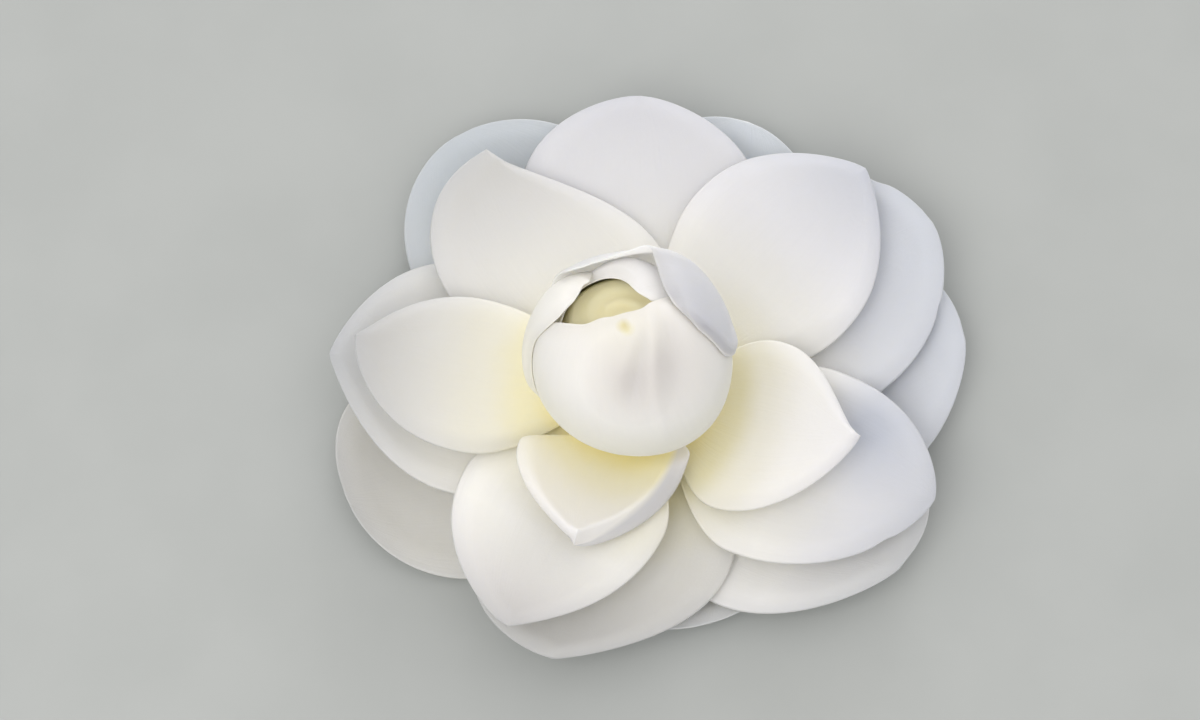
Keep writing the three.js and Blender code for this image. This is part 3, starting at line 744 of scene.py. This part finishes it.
def veined(tree, color, lines, strength):
    """A colour with faint veins over it."""
    faint = math_node(tree, "MULTIPLY", spread(tree, lines, *VEIN_RANGE), strength)
    return blend(tree, faint, color, VEIN)


def surface(tree, shader, color, height, rough, bump):
    """Joins colour, roughness and a fine relief of the given depth to a shader."""
    relief = node(tree, "ShaderNodeBump")
    relief.inputs["Strength"].default_value = 0.6
    relief.inputs["Distance"].default_value = bump
    tree.links.new(height, relief.inputs["Height"])
    tree.links.new(relief.outputs["Normal"], shader.inputs["Normal"])
    tree.links.new(color, shader.inputs["Base Color"])
    tree.links.new(rough, shader.inputs["Roughness"])


def soft_flesh(tree, shader, color, lines, weight=0.6, depth=0.0025):
    """Light passes a little way through; the skin has fine grains, lines and soft waves."""
    place = object_place(tree)
    grain = noise(tree, place, scale=1400, detail=2, rough=0.6)
    waves = noise(tree, place, scale=150)
    height = math_node(tree, "MULTIPLY", grain, 0.3)
    height = math_node(tree, "MULTIPLY_ADD", lines, 0.5, height)
    height = math_node(tree, "MULTIPLY_ADD", waves, 0.8, height)
    rough = math_node(tree, "MULTIPLY_ADD", grain, 0.16, 0.42)
    surface(tree, shader, color, height, rough, bump=0.00012)
    shader.subsurface_method = "RANDOM_WALK"
    shader.inputs["Subsurface Weight"].default_value = weight
    shader.inputs["Subsurface Radius"].default_value = (1.0, 0.95, 0.8)
    shader.inputs["Subsurface Scale"].default_value = depth
    shader.inputs["Specular IOR Level"].default_value = 0.35
    shader.inputs["Sheen Weight"].default_value = 0.08
    shader.inputs["Sheen Roughness"].default_value = 0.5


# Tints that several petals share, from pale to deep, and that of the veins
IVORY = (0.90, 0.885, 0.82)
CREAM = (0.90, 0.87, 0.73)
STRAW = (0.89, 0.83, 0.56)
GOLD = (0.86, 0.75, 0.36)
VEIN = (0.78, 0.78, 0.72)
VEIN_RANGE = (0.45, 0.75)  # values of the fine lines between which a vein sets in
CLOUDS = 0.16  # how far soft clouds shift a petal's tones

# Where tints change
WARM_CENTRE = (BUD_CENTRE[0], BUD_CENTRE[1], 12)  # in mm, the warmest place under the bud, middle of the petals' yellow feet and of the painted glow from the bud
WARM_FROM = 0.010
FOLD_SHADE_FROM = (0.87, 0.92)  # way across a petal over which the painted shade on a fold sets in
HOLLOW_SHADE_CORE = 0.002  # radius within which the painted shade in a hollow is full
BUD_TINT_HEIGHTS = (0.018, 0.044)  # from warm to pale
BUD_INSIDE = (0.985, 0.90)  # way up a closed petal over which its inner tint, partly painted light, sets in
HEART_TINT_REACH = (0.005, 0.0125)
CALYX_TINT_HEIGHTS = (0.001, 0.012)  # from the stalk's bark to the receptacle

# Marks on the front of the bud
FRONT_FACE = 14.0  # radius in mm at which they lie
# Painted shade in the grooves beside the crease
GROOVE_SHADE = (0.62, 0.585, 0.56)
# Angle, azimuth, size, strength and tint of the painted shade in the grooves and of the dimple's
# surroundings
PATCHES = [(52, 278, 0.0075, 0.75, GROOVE_SHADE), (52, 308, 0.0095, 0.65, GROOVE_SHADE),
           (*DIMPLE, 0.007, 0.5, CREAM)]
PATCH_CORE = 0.001  # radius within which a patch is strongest
# Angle, azimuth and tint of the small marks in the dimple
DIMPLE_MARKS = [(27, 297, (0.86, 0.80, 0.55)), (24, 295, (0.78, 0.69, 0.40))]
MARK_EDGE = (0.0003, 0.0013)  # radii over which such a mark fades out


def petal_material(name, pale, tip, shade=1, fold=None, tip_from=0.35, warm_to=0.040, foot=1,
                   hollow=None):
    """Petal flesh: gold to cream close under the bud, partly the petal's own yellow foot and partly
    painted glow from the bud, and pale from warm_to metres on, with painted shade from tip_from
    to the tip, on a folded left margin and in a hollow (place in mm, radius in metres, tint).
    Faint veins and clouds break it up. shade dims all its warm and pale tones as painted shade,
    and foot dims the warmest as painted shade under the bud."""
    material, tree, shader = graph(name)
    place = object_place(tree)
    # Gold to cream near the bud: partly the petals' own yellow feet, partly painted glow from the bud
    near_bud = spread(tree, distance_from(tree, place, WARM_CENTRE), WARM_FROM, warm_to)
    cloud = noise(tree, place, scale=90)
    evened = math_node(tree, "ADD", near_bud, -CLOUDS / 2)
    warmth = math_node(tree, "MULTIPLY_ADD", cloud, CLOUDS, evened)
    tones = [(0, GOLD), (0.18, STRAW), (0.36, CREAM), (0.6, IVORY), (1, pale)]
    # shade dims every tone as painted shade, and foot dims the warmest as painted shade under the bud
    dims = (shade * foot, shade * foot, shade * (1 + foot) / 2, shade, shade)
    tones = [(at, tuple(dim * level for level in tone)) for (at, tone), dim in zip(tones, dims)]
    color = ramp(tree, warmth, tones)
    uv, across, along = blade_place(tree)
    lines = veins(tree, uv, across=70, along=2.5)
    color = veined(tree, color, lines, strength=0.10)
    # Painted shade towards the tip
    color = blend(tree, spread(tree, along, tip_from, 1), color, tip)
    # Painted shade on a folded margin
    if fold:
        color = blend(tree, spread(tree, across, *FOLD_SHADE_FROM), color, fold)
    if hollow:
        # Painted shade in a hollow of the petal
        middle, size, tint = hollow
        hollow_shade = spread(tree, distance_from(tree, place, middle), size, HOLLOW_SHADE_CORE)
        color = blend(tree, hollow_shade, color, tint)
    soft_flesh(tree, shader, color, lines)
    return material


def front_spot(angle, az):
    """A point on the front petal of the bud."""
    return bud_point(np.array(float(angle)), np.array(float(az)), np.array(FRONT_FACE))


def bud_material(name, outside, low, inside, through):
    """Closed petal flesh: one tint outside, warmer low down, another deep inside its margin. The low
    and inside tints are partly painted light and glow where the bud lies in shade, and the front
    petal's grooves get painted shade. through is how much light passes into it, and how far."""
    material, tree, shader = graph(name)
    place = object_place(tree)
    rise = spread(tree, height_of(tree, place), *BUD_TINT_HEIGHTS)
    color = ramp(tree, rise, [(0, STRAW), (0.4, CREAM), (0.75, low), (1, outside)])
    # Painted shade in the front petal's grooves, and cream round the dimple
    for angle, az, size, strength, tint in PATCHES:
        off = distance_from(tree, place, front_spot(angle, az))
        patch = math_node(tree, "MULTIPLY", spread(tree, off, size, PATCH_CORE), strength)
        color = blend(tree, patch, color, tint)
    for angle, az, tint in DIMPLE_MARKS:
        off = distance_from(tree, place, front_spot(angle, az))
        color = blend(tree, spread(tree, off, *MARK_EDGE), tint, color)
    uv, across, along = blade_place(tree)
    deep = spread(tree, along, *BUD_INSIDE)
    within = math_node(tree, "MULTIPLY", deep, math_node(tree, "GREATER_THAN", across, 1.0))
    color = blend(tree, within, color, inside)
    lines = veins(tree, uv, across=60, along=2.5)
    color = veined(tree, color, lines, strength=0.08)
    soft_flesh(tree, shader, color, lines, *through)
    return material


def heart_material():
    """Yellow furled petals, deepest in tint at the bottom of the bowl, partly their own colour and partly
    painted glow of light passed through the petals round them.
    """
    material, tree, shader = graph("heart_flesh")
    place = object_place(tree)
    out = spread(tree, distance_from(tree, place, BUD_CENTRE), *HEART_TINT_REACH)
    tones = [(0, (0.88, 0.74, 0.32)), (0.5, (0.91, 0.82, 0.46)), (1, (0.93, 0.87, 0.57))]
    color = ramp(tree, out, tones)
    folds = noise(tree, place, scale=380, detail=4)
    color = blend(tree, math_node(tree, "MULTIPLY", folds, 0.3), color, CREAM)
    soft_flesh(tree, shader, color, folds, depth=0.002)
    return material


def calyx_material():
    """Green silky sepals with brownish patches; pale receptacle above, woody stalk below."""
    material, tree, shader = graph("calyx_skin")
    place = object_place(tree)
    rise = spread(tree, height_of(tree, place), *CALYX_TINT_HEIGHTS)
    bark, green, light_green = (0.25, 0.16, 0.07), (0.20, 0.27, 0.08), (0.34, 0.42, 0.14)
    pale, brown = (0.86, 0.82, 0.56), (0.36, 0.27, 0.10)
    color = ramp(tree, rise, [(0, bark), (0.12, green), (0.42, light_green), (0.75, pale)])
    blotches = noise(tree, place, scale=260, detail=4)
    patches = math_node(tree, "MULTIPLY", blotches, spread(tree, rise, 0.8, 0.3))
    color = blend(tree, math_node(tree, "MULTIPLY", patches, 0.5), color, brown)
    hairs = noise(tree, place, scale=2600, detail=2, rough=0.7)
    rough = math_node(tree, "MULTIPLY_ADD", hairs, 0.2, 0.42)
    surface(tree, shader, color, hairs, rough, bump=0.0002)
    shader.inputs["Sheen Weight"].default_value = 0.35
    shader.inputs["Subsurface Weight"].default_value = 0.1
    shader.inputs["Subsurface Scale"].default_value = 0.001
    return material


def floor_material():
    """Matt pale grey paint."""
    material, tree, shader = graph("floor_paint")
    fine = noise(tree, object_place(tree), scale=40, detail=4)
    color = ramp(tree, fine, [(0.3, (0.42, 0.44, 0.43)), (0.7, (0.44, 0.46, 0.45))])
    rough = math_node(tree, "MULTIPLY_ADD", fine, 0.1, 0.75)
    surface(tree, shader, color, fine, rough, bump=0.0001)
    return material


# Stage, light and camera, in metres and degrees
FLOOR_SIZE = 6
SKY_TINT = (1.0, 0.98, 0.975)
SKY_STRENGTH = 0.86
CAMERA_ELEVATION = 68
CAMERA_LENS = 100
CAMERA_SENSOR = 36
CAMERA_PLACE = (-0.007661, -0.192201, 0.48798)


def area_light(name, place, aim, size, power, color, beam=180):
    """A round soft light at a place, turned to what it aims at; beam is in degrees."""
    data = bpy.data.lights.new(name, "AREA")
    data.shape = "DISK"
    data.size = size
    data.energy = power
    data.color = color
    data.spread = math.radians(beam)
    lamp = bpy.data.objects.new(name, data)
    lamp.location = place
    direction = Vector(aim) - Vector(place)
    lamp.rotation_euler = direction.to_track_quat("-Z", "Y").to_euler()
    bpy.context.scene.collection.objects.link(lamp)


def stage():
    """Floor, even sky, a large key light and a faint back light."""
    bpy.ops.mesh.primitive_plane_add(size=FLOOR_SIZE)
    floor = bpy.context.object
    floor.name = "floor"
    floor.data.materials.append(floor_material())
    world = bpy.data.worlds.new("studio")
    bpy.context.scene.world = world
    world.use_nodes = True
    sky = world.node_tree.nodes["Background"]
    sky.inputs["Color"].default_value = (*SKY_TINT, 1)
    sky.inputs["Strength"].default_value = SKY_STRENGTH
    area_light("key", (-0.32, -0.4, 0.7), (0, 0, 0.02), size=0.7, power=2.45, color=(1.0, 0.98, 0.95))
    area_light("back", (0.12, 0.6, 0.17), (0, 0, 0.035), size=0.3, power=0.14, color=(1.0, 0.985, 0.98),
               beam=50)
    bpy.context.scene.view_settings.view_transform = "Standard"


def camera():
    data = bpy.data.cameras.new("view")
    data.lens = CAMERA_LENS
    data.sensor_width = CAMERA_SENSOR
    data.clip_start = 0.01
    eye = bpy.data.objects.new("view", data)
    eye.location = CAMERA_PLACE
    eye.rotation_euler = (math.radians(90 - CAMERA_ELEVATION), 0, 0)
    bpy.context.scene.collection.objects.link(eye)
    bpy.context.scene.camera = eye


# One flesh for each petal's tint: lit and shaded copies of one white flesh, whose pale and tip tones and
# shade are painted light and shade, darker and cooler where a petal lies in shade
inner_flesh = petal_material("inner_flesh", (0.95, 0.925, 0.905), (0.79, 0.78, 0.785),
                             warm_to=0.038, foot=0.8)
# The cup petal's fold tint is painted shade on its folded-down margin
cup_flesh = petal_material("cup_flesh", (0.92, 0.90, 0.87), (0.90, 0.88, 0.86), shade=0.96,
                           fold=(0.64, 0.635, 0.65))
left_flesh = petal_material("left_flesh", (0.82, 0.79, 0.68), (0.44, 0.445, 0.455), warm_to=0.052)
dim_flesh = petal_material("dim_flesh", (0.86, 0.85, 0.83), (0.52, 0.52, 0.515))
# Its hollow tint is painted blue-grey shade in a hollow of the petal
side_flesh = petal_material("side_flesh", (0.88, 0.87, 0.875), (0.50, 0.52, 0.57), tip_from=0.5,
                            hollow=((35.5, -6.5, 10.3), 0.013, (0.50, 0.53, 0.60)))
middle_flesh = petal_material("middle_flesh", (0.86, 0.85, 0.835), (0.61, 0.615, 0.66))
sky_shade_flesh = petal_material("sky_shade_flesh", (0.73, 0.745, 0.77), (0.58, 0.61, 0.67))
guard_flesh = petal_material("guard_flesh", (0.70, 0.695, 0.68), (0.56, 0.57, 0.575))
edge_flesh = petal_material("edge_flesh", (0.78, 0.77, 0.75), (0.55, 0.56, 0.57), tip_from=0.7)
sun_and_shade_flesh = petal_material("sun_and_shade_flesh", (0.93, 0.91, 0.82), (0.48, 0.48, 0.475), tip_from=0.65)
blue_shade_flesh = petal_material("blue_shade_flesh", (0.72, 0.745, 0.77), (0.68, 0.735, 0.79))
shade_flesh = petal_material("shade_flesh", (0.66, 0.69, 0.70), (0.515, 0.56, 0.60))
low_flesh = petal_material("low_flesh", (0.84, 0.83, 0.78), (0.45, 0.465, 0.49), tip_from=0.5)
fore_flesh = petal_material("fore_flesh", (0.97, 0.94, 0.91), (0.50, 0.495, 0.50), tip_from=0.6)
back_flesh = petal_material("back_flesh", (0.96, 0.945, 0.94), (0.52, 0.54, 0.60), tip_from=0.45)
front_flesh = petal_material("front_flesh", (0.70, 0.69, 0.67), (0.50, 0.50, 0.495), shade=0.84)
PETAL_FLESH = {
    "petal_cup_front": cup_flesh,
    "petal_inner_left": left_flesh,
    "petal_inner_front": fore_flesh,
    "petal_inner_right": inner_flesh,
    "petal_middle_right": side_flesh,
    "petal_inner_back_right": back_flesh,
    "petal_inner_back_left": dim_flesh,
    "petal_middle_back": middle_flesh,
    "petal_middle_front": front_flesh,
    "petal_middle_left": low_flesh,
    "petal_outer_right": sky_shade_flesh,
    "petal_outer_front_right": edge_flesh,
    "petal_guard_back_left": shade_flesh,
    "petal_guard_right": sky_shade_flesh,
    "petal_guard_back": blue_shade_flesh,
    "petal_guard_left": sun_and_shade_flesh,
    "petal_guard_front": guard_flesh,
}
for number, petal in enumerate(PETALS):
    open_petal(number).data.materials.append(PETAL_FLESH[petal.name])
# Lit and shaded copies of the closed petals' flesh: the back petal's cool outside is painted sky shade,
# and the inner petal's lighter outside and the lighter inside tints are painted light
cool_shade_flesh = bud_material("cool_shade_bud_flesh", (0.93, 0.935, 0.97), (0.92, 0.91, 0.88),
                          (0.97, 0.96, 0.98), (1, 0.005))
warm_flesh = bud_material("bud_flesh", (0.93, 0.89, 0.82), (0.97, 0.935, 0.85), CREAM, (0.6, 0.0025))
clear_flesh = bud_material("clear_bud_flesh", (0.96, 0.945, 0.935), IVORY, CREAM, (0.4, 0.002))
furled_flesh = bud_material("furled_flesh", (0.97, 0.96, 0.955), (0.95, 0.945, 0.94), STRAW,
                            (0.3, 0.0015))
BUD_FLESH = {
    "bud_back": cool_shade_flesh,
    "bud_left": clear_flesh,
    "bud_front": warm_flesh,
    "bud_inner": furled_flesh,
}
for closed in BUD_PETALS:
    bud_petal(closed).data.materials.append(BUD_FLESH[closed.name])
bud_heart().data.materials.append(heart_material())
calyx().data.materials.append(calyx_material())
stage()
camera()
